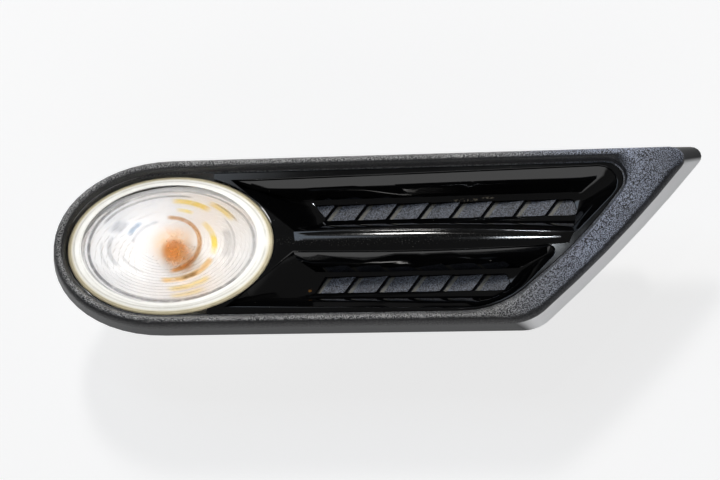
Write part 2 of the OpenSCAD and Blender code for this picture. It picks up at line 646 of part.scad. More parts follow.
// Sheet clip pushed over a tower: closed at the back, with a barb sprung out of each leg
module spring_clip(p) {
  y = tower_t / 2 + fit / 2;
  wide = y + clip_t;
  color(steel) seat() translate([p[0], p[1], -pan_depth]) rotate([0, -90, 0]) rotate([0, 0, 180])
    linear_extrude(clip_w, center = true)
      polygon([[0.2, y], [0.2, wide], [clip_l * 0.3, wide], [clip_l * 0.36, wide + clip_flare],
               [clip_l * 0.42, wide + clip_flare], [clip_l * 0.9, wide], [clip_l, wide * 0.6],
               [clip_l, -wide * 0.6], [clip_l * 0.9, -wide], [clip_l * 0.42, -wide - clip_flare],
               [clip_l * 0.36, -wide - clip_flare], [clip_l * 0.3, -wide], [0.2, -wide], [0.2, -y],
               [tower_h + fit, -y], [tower_h + fit, y]]);
}

module wing_gasket() {
  color(foam) seat() translate([0, 0, -gasket_t]) linear_extrude(gasket_t) difference() {
    polygon(outline(gasket_in, gasket_in, tip_r, low_r));
    polygon(outline(gasket_in + gasket_w, gasket_in + gasket_w, tip_r, low_r));
  }
}

trim_frame();
gloss_finisher();
lamp_lens();
lens_seal();
lamp_housing();
reflector();
bulb();
bulb_holder();
holder_seal();
contact_blade(-1);  // contact_blade_1
contact_blade(1);  // contact_blade_2
screw(lamp_screws[0], -pan_depth - boss_h - ear_t);  // lamp_screw_1
screw(lamp_screws[1], -pan_depth - boss_h - ear_t);  // lamp_screw_2
screw(finisher_screws[0], -pan_depth);  // finisher_screw_1
screw(finisher_screws[1], -pan_depth);  // finisher_screw_2
screw(finisher_screws[2], -pan_depth);  // finisher_screw_3
screw(finisher_screws[3], -pan_depth);  // finisher_screw_4
screw(finisher_screws[4], -pan_depth);  // finisher_screw_5
spring_clip(clip_places[0]);  // spring_clip_1
spring_clip(clip_places[1]);  // spring_clip_2
spring_clip(clip_places[2]);  // spring_clip_3
spring_clip(clip_places[3]);  // spring_clip_4
wing_gasket();
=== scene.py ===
import bpy, bmesh, json, math
from mathutils import Matrix, Vector


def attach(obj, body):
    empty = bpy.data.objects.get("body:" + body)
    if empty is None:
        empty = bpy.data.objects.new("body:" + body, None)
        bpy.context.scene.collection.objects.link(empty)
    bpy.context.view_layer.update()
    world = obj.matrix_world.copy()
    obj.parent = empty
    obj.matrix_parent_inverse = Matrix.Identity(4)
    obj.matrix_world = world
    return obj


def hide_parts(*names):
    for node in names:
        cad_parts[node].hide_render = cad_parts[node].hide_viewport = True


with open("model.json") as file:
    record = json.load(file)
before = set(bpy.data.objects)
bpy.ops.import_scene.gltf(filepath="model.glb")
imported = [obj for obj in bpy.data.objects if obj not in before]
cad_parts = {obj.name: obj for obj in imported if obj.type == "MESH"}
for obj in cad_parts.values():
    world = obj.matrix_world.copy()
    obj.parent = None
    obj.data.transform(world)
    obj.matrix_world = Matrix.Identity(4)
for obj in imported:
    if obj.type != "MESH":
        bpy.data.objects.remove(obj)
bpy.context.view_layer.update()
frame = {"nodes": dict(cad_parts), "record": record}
nodes = frame["nodes"]
scene = bpy.context.scene
mm = 0.001
lampX = -77.0          # lamp axis in the row frame, mm
wingY = -10.8          # the wing face, mm
print("frame loaded")


# small helpers for node trees
def addNode(tree, kind, place=(0, 0), **values):
    n = tree.nodes.new(kind)
    n.location = place
    for key, value in values.items():
        setattr(n, key, value)
    return n


def put(tree, node, name, value):
    # a socket takes a link or a plain value
    if hasattr(value, "is_output"):
        tree.links.new(value, node.inputs[name])
    else:
        node.inputs[name].default_value = value


def mathNode(tree, operation, a, b=0.0, c=0.0, clamp=False):
    n = addNode(tree, "ShaderNodeMath", operation=operation, use_clamp=clamp)
    for i, v in enumerate((a, b, c)):
        put(tree, n, i, v)
    return n.outputs[0]


def times(tree, *values):
    out = values[0]
    for v in values[1:]:
        out = mathNode(tree, "MULTIPLY", out, v)
    return out


def vectorMath(tree, operation, a, b=(0, 0, 0)):
    n = addNode(tree, "ShaderNodeVectorMath", operation=operation)
    put(tree, n, 0, a)
    put(tree, n, 1, b)
    return n.outputs["Value" if operation in ("LENGTH", "DOT_PRODUCT") else "Vector"]


def axes(tree, vector):
    n = addNode(tree, "ShaderNodeSeparateXYZ")
    put(tree, n, 0, vector)
    return n.outputs


def remap(tree, value, low, high, toLow=0.0, toHigh=1.0, smooth=False):
    n = addNode(tree, "ShaderNodeMapRange", interpolation_type="SMOOTHSTEP" if smooth else "LINEAR")
    for name, v in (("Value", value), ("From Min", low), ("From Max", high), ("To Min", toLow), ("To Max", toHigh)):
        put(tree, n, name, v)
    return n.outputs["Result"]


def mixColor(tree, factor, a, b):
    n = addNode(tree, "ShaderNodeMix", data_type="RGBA")
    for i, v in ((0, factor), (6, a), (7, b)):
        put(tree, n, i, (*v, 1) if isinstance(v, tuple) else v)
    return n.outputs[2]


def noise(tree, vector, scale, detail=2.0, rough=0.5):
    n = addNode(tree, "ShaderNodeTexNoise")
    for name, v in (("Vector", vector), ("Scale", scale), ("Detail", detail), ("Roughness", rough)):
        put(tree, n, name, v)
    return n.outputs["Fac"]


def newGroup(name, inputs, outputs, kind="ShaderNodeTree"):
    tree = bpy.data.node_groups.new(name, kind)
    for label, socket, value in inputs:
        s = tree.interface.new_socket(name=label, in_out="INPUT", socket_type="NodeSocket" + socket)
        if value is not None:
            s.default_value = value
    for label, socket in outputs:
        tree.interface.new_socket(name=label, in_out="OUTPUT", socket_type="NodeSocket" + socket)
    return tree, addNode(tree, "NodeGroupInput", (-800, 0)).outputs, addNode(tree, "NodeGroupOutput", (800, 0))


def useGroup(tree, group, **inputs):
    n = addNode(tree, "ShaderNodeGroup", (-900, 0))
    n.node_tree = group
    for key, value in inputs.items():
        put(tree, n, key.replace("_", " "), value)
    return n.outputs


# leather-like grain of moulded plastic: rounded cells with a little noise
grainTree, gi, go = newGroup("leatherGrain",
    [("Vector", "Vector", None), ("Cell Size", "Float", 0.0007)], [("Height", "Float"), ("Sparkle", "Float")])
cellScale = mathNode(grainTree, "DIVIDE", 1.0, gi["Cell Size"])
cells = addNode(grainTree, "ShaderNodeTexVoronoi", feature="SMOOTH_F1")
put(grainTree, cells, "Vector", gi["Vector"])
put(grainTree, cells, "Scale", cellScale)
put(grainTree, cells, "Smoothness", 0.6)
fine = noise(grainTree, gi["Vector"], times(grainTree, cellScale, 1.5), 2.5, 0.6)
grainTree.links.new(mathNode(grainTree, "ADD", times(grainTree, cells.outputs["Distance"], -0.8),
                             times(grainTree, fine, 0.6)), go.inputs["Height"])
# Sparkle marks the grain cells that take the painted glints
grainTree.links.new(remap(grainTree, fine, 0.45, 0.57, smooth=True), go.inputs["Sparkle"])

# sparse dust specks
dustTree, di, do = newGroup("dustSpecks",
    [("Vector", "Vector", None), ("Spacing", "Float", 0.004), ("Speck", "Float", 0.06), ("Amount", "Float", 0.4)],
    [("Mask", "Float")])
specks = addNode(dustTree, "ShaderNodeTexVoronoi")
put(dustTree, specks, "Vector", di["Vector"])
put(dustTree, specks, "Scale", mathNode(dustTree, "DIVIDE", 1.0, di["Spacing"]))
lucky = addNode(dustTree, "ShaderNodeSeparateColor")
put(dustTree, lucky, "Color", specks.outputs["Color"])
dustTree.links.new(times(dustTree, mathNode(dustTree, "LESS_THAN", specks.outputs["Distance"], di["Speck"]),
                         mathNode(dustTree, "LESS_THAN", lucky.outputs["Red"], di["Amount"])), do.inputs["Mask"])

# short fine scuffs along X
scuffTree, si, so = newGroup("fineScuffs",
    [("Vector", "Vector", None), ("Length", "Float", 0.01), ("Amount", "Float", 0.3)], [("Mask", "Float")])
stretch = addNode(scuffTree, "ShaderNodeMapping")
stretch.inputs["Scale"].default_value = (0.12, 1.0, 1.6)
stretch.inputs["Rotation"].default_value = (0, 0.06, 0)
put(scuffTree, stretch, "Vector", si["Vector"])
hair = noise(scuffTree, stretch.outputs[0], mathNode(scuffTree, "DIVIDE", 14.0, si["Length"]), 4.0, 0.7)
patch = noise(scuffTree, si["Vector"], mathNode(scuffTree, "DIVIDE", 0.8, si["Length"]), 1.0)
scuffTree.links.new(times(scuffTree, remap(scuffTree, hair, 0.66, 0.72), mathNode(scuffTree, "GREATER_THAN",
    mathNode(scuffTree, "ADD", patch, si["Amount"]), 0.75)), so.inputs["Mask"])

# soft spot about a point, its sizes given along the three axes
spotTree, pi, po = newGroup("softSpot",
    [("Vector", "Vector", None), ("Centre", "Vector", (0, 0, 0)), ("Size", "Vector", (1, 1, 1)),
     ("Softness", "Float", 0.5)], [("Mask", "Float")])
away = vectorMath(spotTree, "LENGTH", vectorMath(spotTree, "DIVIDE",
    vectorMath(spotTree, "SUBTRACT", pi["Vector"], pi["Centre"]), pi["Size"]))
spotTree.links.new(remap(spotTree, away, 1.0, mathNode(spotTree, "SUBTRACT", 1.0, pi["Softness"]), smooth=True),
                   po.inputs["Mask"])

# arc of an ellipse about the lamp axis: centre, half sizes, half width, start and span in degrees
arcTree, ai, ao = newGroup("ringArc",
    [("Vector", "Vector", None), ("Centre X", "Float", 0.0), ("Centre Z", "Float", 0.0),
     ("Half Length", "Float", 0.04), ("Half Height", "Float", 0.03), ("Half Width", "Float", 0.001),
     ("Start", "Float", 0.0), ("Span", "Float", 360.0)], [("Mask", "Float"), ("Share", "Float")])
arcFade = {"degrees": 10.0, "inner": 0.55, "outer": 1.15, "perRadian": 57.2958}
place = axes(arcTree, ai["Vector"])
fromLamp = mathNode(arcTree, "SUBTRACT", place["X"], lampX * mm)
ex = mathNode(arcTree, "DIVIDE", mathNode(arcTree, "SUBTRACT", fromLamp, ai["Centre X"]), ai["Half Length"])
ez = mathNode(arcTree, "DIVIDE", mathNode(arcTree, "SUBTRACT", place["Z"], ai["Centre Z"]), ai["Half Height"])
share = mathNode(arcTree, "SQRT", mathNode(arcTree, "ADD", times(arcTree, ex, ex), times(arcTree, ez, ez)))
beside = mathNode(arcTree, "ABSOLUTE", mathNode(arcTree, "SUBTRACT", share, 1.0))
off = mathNode(arcTree, "DIVIDE", times(arcTree, beside, ai["Half Height"]), ai["Half Width"])
turned = times(arcTree, mathNode(arcTree, "ARCTAN2", ez, ex), arcFade["perRadian"])
angle = mathNode(arcTree, "FLOORED_MODULO", mathNode(arcTree, "SUBTRACT", turned, ai["Start"]), 360.0)
begin = remap(arcTree, angle, 0.0, arcFade["degrees"], smooth=True)
close = remap(arcTree, mathNode(arcTree, "SUBTRACT", ai["Span"], angle), 0.0, arcFade["degrees"], smooth=True)
line = remap(arcTree, off, arcFade["inner"], arcFade["outer"], 1.0, 0.0, smooth=True)
arcTree.links.new(times(arcTree, line, begin, close), ao.inputs["Mask"])
arcTree.links.new(share, ao.inputs["Share"])
print("shader groups built")


def newMaterial(name, color, roughness, metallic=0.0, **sockets):
    m = bpy.data.materials.new(name)
    m.use_nodes = True
    tree = m.node_tree
    shader = tree.nodes["Principled BSDF"]
    shader.inputs["Base Color"].default_value = (*color, 1)
    shader.inputs["Roughness"].default_value = roughness
    shader.inputs["Metallic"].default_value = metallic
    for key, value in sockets.items():
        shader.inputs[key.replace("_", " ")].default_value = value
    where = addNode(tree, "ShaderNodeTexCoord", (-1400, 0))
    return m, tree, shader, where.outputs["Object"]


def feed(tree, shader, **links):
    for key, value in links.items():
        tree.links.new(value, shader.inputs[key.replace("_", " ")])


def addBump(tree, shader, height, strength, distance):
    n = addNode(tree, "ShaderNodeBump", (-300, -300))
    n.inputs["Strength"].default_value = strength
    n.inputs["Distance"].default_value = distance
    tree.links.new(height, n.inputs["Height"])
    feed(tree, shader, Normal=n.outputs[0])


def layOver(tree, shader, mask, color):
    # lays a colour over whatever feeds the base colour
    base = shader.inputs["Base Color"]
    under = base.links[0].from_socket if base.links else tuple(base.default_value)[:3]
    feed(tree, shader, Base_Color=mixColor(tree, mask, under, color))


def dustOver(tree, shader, where, spacing, amount, color, strength=0.6):
    mask = useGroup(tree, dustTree, Vector=where, Spacing=spacing, Amount=amount)["Mask"]
    layOver(tree, shader, times(tree, mask, strength), color)


# grained plastic: bright grain tops, painted glints, on the faces that look outwards, smooth on the drafted skirt
grainLook = {"color": (0.014, 0.014, 0.016), "rimPaintedGlints": (0.72, 0.71, 0.7), "flatPaintedGlints": (0.66, 0.73, 0.92),
             "cell": 0.00058, "depth": 0.0002, "paintedGlintsToward": (0, -0.8, 0.6), "flatFrom": (0.05, 0.09),
             "panPaintedGlints": 0.4}
# the skirt's own dark colour, and a painted reflection where it faces down to the right
skirtLook = {"color": (0.047, 0.048, 0.05), "paintedReflection": (0.95, 0.955, 0.97), "paintedReflectionToward": (0.59, -0.554, -0.587),
             "crest": -0.0152, "foot": -0.0095}
# louvre blades and their painted edge highlight, in mm: pitch along X, lean of their edges, rows at +-slotZ, left edge
# of each row's first blade
bladeLook = {"y": -0.0055, "bladeHighlight": (0.21, 0.2, 0.165), "bladeHighlightWidth": (2.1, 1.6), "bladeHighlightShare": 0.9, "pitch": 12.7,
             "lean": 0.7265, "slotZ": 15.2, "firstUpper": -13.2, "firstLower": -16.6}
grainedBlack, tree, shader, where = newMaterial("grainedBlack", grainLook["color"], 0.4)
grain = useGroup(tree, grainTree, Vector=where, Cell_Size=grainLook["cell"])
x, y, z = axes(tree, where)
normal = addNode(tree, "ShaderNodeNewGeometry").outputs["Normal"]
# painted highlight: the grain tops turn bright only on faces turned towards the lamps, and weaker inside the pan
towardGlintLight = remap(tree, vectorMath(tree, "DOT_PRODUCT", normal, grainLook["paintedGlintsToward"]), 0.5, 0.92, 0.06, 1.0,
               smooth=True)
inPan = mathNode(tree, "GREATER_THAN", y, bladeLook["y"])
onFlat = mathNode(tree, "MAXIMUM", inPan, remap(tree, x, *grainLook["flatFrom"], smooth=True))
skirtMask = times(tree, remap(tree, y, skirtLook["crest"] - 0.0004, skirtLook["crest"] + 0.0003, smooth=True),
                  mathNode(tree, "LESS_THAN", y, skirtLook["foot"]))
glintPatches = remap(tree, noise(tree, where, 45, 3), 0.3, 0.7, 0.55, 1.0)
paintedGlints = times(tree, grain["Sparkle"], towardGlintLight, glintPatches)
paintedGlints = times(tree, paintedGlints, remap(tree, inPan, 0.0, 1.0, 1.0, grainLook["panPaintedGlints"]))
look = mixColor(tree, paintedGlints, grainLook["color"], mixColor(tree, onFlat, grainLook["rimPaintedGlints"], grainLook["flatPaintedGlints"]))
# a smooth brown-grey strip along the left edge of each louvre blade: a painted highlight on its bevelled edge
upper = mathNode(tree, "GREATER_THAN", z, 0.0)
firstBlade = remap(tree, upper, 0.0, 1.0, bladeLook["firstLower"], bladeLook["firstUpper"])
slotLine = remap(tree, upper, 0.0, 1.0, -bladeLook["slotZ"], bladeLook["slotZ"])
across = mathNode(tree, "SUBTRACT", mathNode(tree, "SUBTRACT", times(tree, x, 1000.0), firstBlade),
    times(tree, mathNode(tree, "SUBTRACT", times(tree, z, 1000.0), slotLine), bladeLook["lean"]))
along = mathNode(tree, "FLOORED_MODULO", across, bladeLook["pitch"])
bladeHighlight = times(tree, inPan, mathNode(tree, "LESS_THAN", axes(tree, normal)["Y"], -0.5),
              remap(tree, along, *bladeLook["bladeHighlightWidth"]), remap(tree, along, 0.0, 0.3))
look = mixColor(tree, times(tree, bladeHighlight, bladeLook["bladeHighlightShare"]), look, bladeLook["bladeHighlight"])
# the skirt is smooth, and paler where it faces down to the right: a painted reflection of the pale floor there
paintedSkirtReflection = remap(tree, vectorMath(tree, "DOT_PRODUCT", normal, skirtLook["paintedReflectionToward"]), 0.8, 0.985, smooth=True)
look = mixColor(tree, skirtMask, look, mixColor(tree, paintedSkirtReflection, skirtLook["color"], skirtLook["paintedReflection"]))
rough = mathNode(tree, "ADD", remap(tree, grain["Height"], -0.3, 0.5, 0.46, 0.3), times(tree, skirtMask, 0.02))
feed(tree, shader, Base_Color=look, Roughness=rough)
relief = times(tree, grain["Height"], mathNode(tree, "SUBTRACT", 1.0, skirtMask))
addBump(tree, shader, relief, 0.9, grainLook["depth"])
dustOver(tree, shader, where, 0.007, 0.22, (0.22, 0.22, 0.21), 0.5)

glossLook = {"color": (0.0025, 0.0025, 0.003), "dustAndSheen": (0.2, 0.19, 0.17), "chip": (0.4, 0.34, 0.25),
             "rust": (0.5, 0.22, 0.04)}
glossBlack, tree, shader, where = newMaterial("glossBlack", glossLook["color"], 0.07,
                                              Coat_Weight=0.3, Coat_Roughness=0.04)
scuffs = useGroup(tree, scuffTree, Vector=where, Length=0.012, Amount=0.22)["Mask"]
cloudy = remap(tree, noise(tree, where, 45, 4, 0.6), 0.35, 0.8, 0.05, 0.12)
feed(tree, shader, Roughness=mathNode(tree, "ADD", cloudy, times(tree, scuffs, 0.2)))
addBump(tree, shader, noise(tree, where, 160, 1), 0.03, 0.0002)
dustOver(tree, shader, where, 0.0035, 0.22, glossLook["dustAndSheen"], 0.45)
# dust along the spine's crest; its pale streak is also a painted highlight
crest = useGroup(tree, spotTree, Vector=where, Centre=(0.01, -0.0155, 0.0), Size=(0.065, 0.004, 0.0032))["Mask"]
crestDustAndSheen = remap(tree, noise(tree, where, 1500, 2, 0.7), 0.6, 0.72)
layOver(tree, shader, times(tree, crest, crestDustAndSheen, 0.8), glossLook["dustAndSheen"])
# two worn spots on the upper slot's edge and a rust speck by the lower slot: centre, size, noise level, colour
wornSpots = [((0.042, -0.0046, 0.0191), (0.008, 0.002, 0.0007), 0.5, glossLook["chip"]),
             ((0.050, -0.0048, 0.0198), (0.003, 0.002, 0.0005), 0.4, glossLook["chip"]),
             ((-0.0209, -0.0047, -0.0176), (0.001, 0.002, 0.0007), 0.38, glossLook["rust"])]
for centre, size, low, color in wornSpots:
    spot = useGroup(tree, spotTree, Vector=where, Centre=centre, Size=size, Softness=0.6)["Mask"]
    layOver(tree, shader, times(tree, spot, remap(tree, noise(tree, where, 900, 3), low, low + 0.12)), color)

# each mark is a painted reflection of the bulb and the room, the dark ones painted shade: centre x and z, half length,
# half height, half width (mm), start, span (degrees), colour, strength
paintedLensArcs = [
    (0.6, -1.1, 12.8, 11.1, 0.85, -84, 182, (0.6, 0.28, 0.05), 0.85),
    (0.6, -1.1, 12.9, 11.2, 0.75, -88, 42, (0.95, 0.45, 0.08), 0.6),
    (1.5, -2.0, 17.8, 13.8, 1.0, -18, 66, (0.98, 0.78, 0.12), 0.5),
    (1.5, -2.0, 17.8, 13.8, 0.95, -8, 30, (0.97, 0.78, 0.03), 0.75),
    (1.5, -2.0, 17.8, 13.8, 1.0, -104, 86, (0.86, 0.5, 0.08), 0.8),
    (1.5, -2.0, 17.8, 13.8, 0.6, -76, 28, (0.22, 0.12, 0.04), 0.75),
    (1.5, -1.6, 23.6, 18.9, 1.15, 48, 46, (0.97, 0.74, 0.1), 0.85),
    (1.5, -1.8, 18.1, 15.3, 0.8, 60, 28, (0.98, 0.8, 0.15), 0.8),
    (1.5, -1.5, 28.5, 20.8, 1.1, 28, 34, (0.96, 0.76, 0.2), 0.75),
    (1.5, -1.5, 29.4, 21.4, 0.35, 24, 34, (0.5, 0.38, 0.24), 0.7),
    (1.5, -2.0, 23.5, 17.1, 0.9, -94, 50, (0.97, 0.8, 0.22), 0.7),
    (1.5, -2.0, 27.4, 19.9, 0.8, -92, 36, (0.98, 0.86, 0.38), 0.6),
    (-1.0, -1.5, 23.0, 13.5, 0.6, 158, 62, (0.52, 0.54, 0.57), 0.55),
    (-0.5, -1.5, 26.8, 16.8, 0.4, 168, 48, (0.58, 0.59, 0.61), 0.5),
    (0.5, -1.5, 14.6, 10.4, 0.6, 104, 74, (0.48, 0.52, 0.58), 0.5),
    (0.5, -1.5, 19.5, 12.4, 0.5, 196, 50, (0.6, 0.6, 0.61), 0.5),
    (1.2, -1.2, 26.0, 18.6, 0.35, -34, 72, (0.5, 0.5, 0.52), 0.5),
    (1.5, -1.5, 18.3, 13.5, 0.9, 130, 34, (0.16, 0.3, 0.48), 0.65),
    (1.5, -1.5, 25.0, 17.5, 2.2, 138, 26, (0.34, 0.36, 0.42), 0.5),
    (1.5, -1.0, 23.3, 16.0, 1.3, -24, 50, (0.5, 0.51, 0.53), 0.5),
    (1.2, -0.9, 34.0, 22.9, 0.5, 118, 212, (0.14, 0.14, 0.15), 0.8),
    (1.2, -0.9, 33.6, 22.7, 0.4, -40, 165, (0.3, 0.3, 0.31), 0.55),
    (0.8, -0.6, 31.2, 20.2, 0.4, 72, 84, (0.24, 0.24, 0.25), 0.7),
    (0.8, -0.6, 35.6, 24.4, 0.25, 130, 130, (0.4, 0.4, 0.41), 0.5),
    (0.5, -0.4, 37.2, 25.6, 0.25, 90, 260, (0.45, 0.44, 0.42), 0.45),
    (0.0, 0.0, 39.4, 26.6, 0.3, 0, 360, (0.42, 0.4, 0.34), 0.6),
    (0.0, 0.0, 41.2, 28.1, 0.25, 0, 360, (0.3, 0.27, 0.2), 0.5),
]
lensLook = {"color": (0.975, 0.98, 0.985), "edge": (0.97, 0.96, 0.92), "paintedBulbImage": (0.95, 0.67, 0.42),
            "paintedBulbCore": (0.97, 0.6, 0.18), "blur": 0.26}


def ovalShare(tree, where, centreX, centreZ, halfLength, halfHeight):
    # 0 at the centre of an ellipse, given in mm from the lamp axis, and 1 on it
    return useGroup(tree, arcTree, Vector=where, Centre_X=centreX * mm, Centre_Z=centreZ * mm,
                    Half_Length=halfLength * mm, Half_Height=halfHeight * mm)["Share"]


clearLens, tree, shader, where = newMaterial("clearLens", lensLook["color"], 0.03, IOR=1.49, Transmission_Weight=1.0)
share = ovalShare(tree, where, 0, 0, 42.6, 29.2)
edge = remap(tree, share, 0.935, 0.965, smooth=True)
ragged = remap(tree, noise(tree, where, 420, 3), 0.25, 0.5, 0.45, 1.0)
look = mixColor(tree, edge, lensLook["color"], lensLook["edge"])
# the bulb's amber as the optic rings spread it, painted into the lens colour as a painted reflection
paintedBulbImage = ovalShare(tree, where, 2.6, -1.6, 9.6, 8.8)
paintedBulbCore = ovalShare(tree, where, 3.0, -4.8, 5.8, 5.0)
inBulbImage = times(tree, remap(tree, paintedBulbImage, 1.2, 0.3, smooth=True), ragged, 0.95)
inBulbCore = times(tree, remap(tree, paintedBulbCore, 1.1, 0.2, smooth=True), ragged, 0.6)
look = mixColor(tree, inBulbImage, look, lensLook["paintedBulbImage"])
look = mixColor(tree, inBulbCore, look, lensLook["paintedBulbCore"])
# painted reflections and shade laid over the lens colour
for cx, cz, a, b, width, start, span, color, strength in paintedLensArcs:
    mask = useGroup(tree, arcTree, Vector=where, Centre_X=cx * mm, Centre_Z=cz * mm, Half_Length=a * mm,
                    Half_Height=b * mm, Half_Width=width * mm, Start=float(start), Span=float(span))["Mask"]
    look = mixColor(tree, times(tree, mask, ragged, strength), look, color)
blur = times(tree, remap(tree, paintedBulbImage, 2.1, 1.0, smooth=True), lensLook["blur"])
rough = mathNode(tree, "ADD", mathNode(tree, "ADD", times(tree, edge, 0.12), blur),
                 remap(tree, noise(tree, where, 120, 3), 0.45, 0.8, 0.01, 0.06))
feed(tree, shader, Base_Color=look, Roughness=rough)
addBump(tree, shader, noise(tree, where, 300, 2), 0.03, 0.0001)

sealLook = {"pale": (0.94, 0.935, 0.91), "color": (0.8, 0.74, 0.56), "dark": (0.5, 0.44, 0.3)}
creamSealant, tree, shader, where = newMaterial("creamSealant", sealLook["color"], 0.5)
share = ovalShare(tree, where, 0, 0, 42.6, 29.2)
# pale towards the inside and darker at the outer edge, painted shade where the lens's wall faces the dark frame; then
# mottled darker at random
look = mixColor(tree, remap(tree, share, 0.93, 0.965, smooth=True), sealLook["pale"], sealLook["color"])
look = mixColor(tree, remap(tree, share, 0.972, 0.985, smooth=True), look, sealLook["dark"])
feed(tree, shader, Base_Color=mixColor(tree, times(tree, noise(tree, where, 180, 3), 0.3), look, sealLook["dark"]))
addBump(tree, shader, noise(tree, where, 500, 2), 0.3, 0.0002)

greyPlastic, tree, shader, where = newMaterial("greyPlastic", (0.5, 0.49, 0.46), 0.45)
feed(tree, shader, Base_Color=mixColor(tree, noise(tree, where, 90, 4), (0.52, 0.51, 0.48), (0.44, 0.43, 0.4)))
addBump(tree, shader, noise(tree, where, 900, 2), 0.15, 0.0001)
dustOver(tree, shader, where, 0.007, 0.2, (0.3, 0.28, 0.25))

bowlLook = {"color": (0.96, 0.96, 0.965), "smear": (0.86, 0.87, 0.89), "metallic": 0.25}
brightReflector, tree, shader, where = newMaterial("brightReflector", bowlLook["color"], 0.25, bowlLook["metallic"])
smear = noise(tree, where, 70, 3)
feed(tree, shader, Base_Color=mixColor(tree, remap(tree, smear, 0.45, 0.75), bowlLook["color"], bowlLook["smear"]),
     Roughness=remap(tree, smear, 0.3, 0.8, 0.28, 0.5))

bulbLook = {"color": (0.98, 0.62, 0.28), "deep": (0.95, 0.48, 0.14)}
amberGlass, tree, shader, where = newMaterial("amberGlass", bulbLook["color"], 0.04, IOR=1.12, Transmission_Weight=0.6)
feed(tree, shader, Base_Color=mixColor(tree, noise(tree, where, 150, 2), bulbLook["color"], bulbLook["deep"]))

holderPlastic, tree, shader, where = newMaterial("holderPlastic", (0.02, 0.02, 0.022), 0.5)
feed(tree, shader, Roughness=remap(tree, noise(tree, where, 250, 3), 0.3, 0.8, 0.4, 0.62))
addBump(tree, shader, noise(tree, where, 1400, 2), 0.25, 0.0001)
dustOver(tree, shader, where, 0.004, 0.3, (0.3, 0.28, 0.25))
# the barrel's end inside the lamp is painted pale like the bowl round it: painted light, standing in for the bright
# glare of the lamp's optics there
layOver(tree, shader, remap(tree, axes(tree, where)["Y"], 0.0125, 0.0118), (0.85, 0.84, 0.82))

blackRubber, tree, shader, where = newMaterial("blackRubber", (0.018, 0.018, 0.018), 0.7)
rubberLook = {"dark": (0.014, 0.014, 0.014), "pale": (0.035, 0.034, 0.033)}
feed(tree, shader, Base_Color=mixColor(tree, noise(tree, where, 200, 3), rubberLook["dark"], rubberLook["pale"]))
addBump(tree, shader, noise(tree, where, 1200, 3), 0.3, 0.0001)

blackFoam, tree, shader, where = newMaterial("blackFoam", (0.02, 0.02, 0.02), 0.95)
pores = addNode(tree, "ShaderNodeTexVoronoi")
put(tree, pores, "Vector", where)
put(tree, pores, "Scale", 2600.0)
feed(tree, shader, Base_Color=mixColor(tree, remap(tree, pores.outputs["Distance"], 0.1, 0.6), (0.006, 0.006, 0.006),
                                       (0.032, 0.032, 0.033)))
addBump(tree, shader, pores.outputs["Distance"], 0.6, 0.0002)


def brushedMetal(name, color, dark, roughness, grainAxis=(1, 1, 30)):
    m, tree, shader, where = newMaterial(name, color, roughness, 1.0)
    turn = addNode(tree, "ShaderNodeMapping")
    turn.inputs["Scale"].default_value = grainAxis
    put(tree, turn, "Vector", where)
    streak = noise(tree, turn.outputs[0], 300, 3)
    feed(tree, shader, Base_Color=mixColor(tree, noise(tree, where, 220, 3), color, dark),
         Roughness=remap(tree, streak, 0.3, 0.7, roughness - 0.08, roughness + 0.12))
    addBump(tree, shader, streak, 0.12, 0.0001)
    return m


screwSteel = brushedMetal("screwSteel", (0.62, 0.62, 0.6), (0.42, 0.42, 0.38), 0.34)
springSteel = brushedMetal("springSteel", (0.3, 0.3, 0.31), (0.16, 0.16, 0.17), 0.42, (30, 1, 1))
contactBrass = brushedMetal("contactBrass", (0.8, 0.64, 0.36), (0.6, 0.46, 0.24), 0.3, (1, 20, 1))
finish = {"grained_black": grainedBlack, "gloss_black": glossBlack, "clear_lens": clearLens,
          "cream_sealant": creamSealant, "grey_plastic": greyPlastic, "bright_reflector": brightReflector,
          "amber_glass": amberGlass, "holder_plastic": holderPlastic, "black_rubber": blackRubber,
          "contact_brass": contactBrass, "screw_steel": screwSteel, "spring_steel": springSteel,
          "black_foam": blackFoam}
slotOf = {s["node"]: s["material_slot"] for s in frame["record"]["subparts"]}
print("finishes built")


def addPiece(mesh, name, slot, replaced):
    obj = bpy.data.objects.new(name, mesh)
    scene.collection.objects.link(obj)
    mesh.materials.clear()
    mesh.materials.append(finish[slot])
    if replaced:
        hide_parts(*replaced)
    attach(obj, "root")
    return obj


def smoothByAngle(mesh, degrees):
    bm = bmesh.new()
    bm.from_mesh(mesh)
    for f in bm.faces:
        f.smooth = True
    for e in bm.edges:
        e.smooth = not (e.is_manifold and e.calc_face_angle() > math.radians(degrees))
    bm.to_mesh(mesh)
    bm.free()


def dressNode(node, name, sharp, bevel=0.0):
    # a merged, smooth-shaded copy of the solid, its edges slightly broken
    mesh = nodes[node].data.copy()
    bm = bmesh.new()
    bm.from_mesh(mesh)
    bmesh.ops.remove_doubles(bm, verts=bm.verts, dist=1e-6)
    bmesh.ops.dissolve_limit(bm, angle_limit=math.radians(0.4), verts=bm.verts, edges=bm.edges)
    bmesh.ops.recalc_face_normals(bm, faces=bm.faces)
    bm.to_mesh(mesh)
    bm.free()
    smoothByAngle(mesh, sharp)
    obj = addPiece(mesh, name, slotOf[node], [node])
    if bevel:
        b = obj.modifiers.new("edges", "BEVEL")
        b.width = bevel * mm
        b.segments = 2
        b.limit_method = "ANGLE"
        b.angle_limit = math.radians(sharp)
    w = obj.modifiers.new("shading", "WEIGHTED_NORMAL")
    w.keep_sharp = True
    return obj


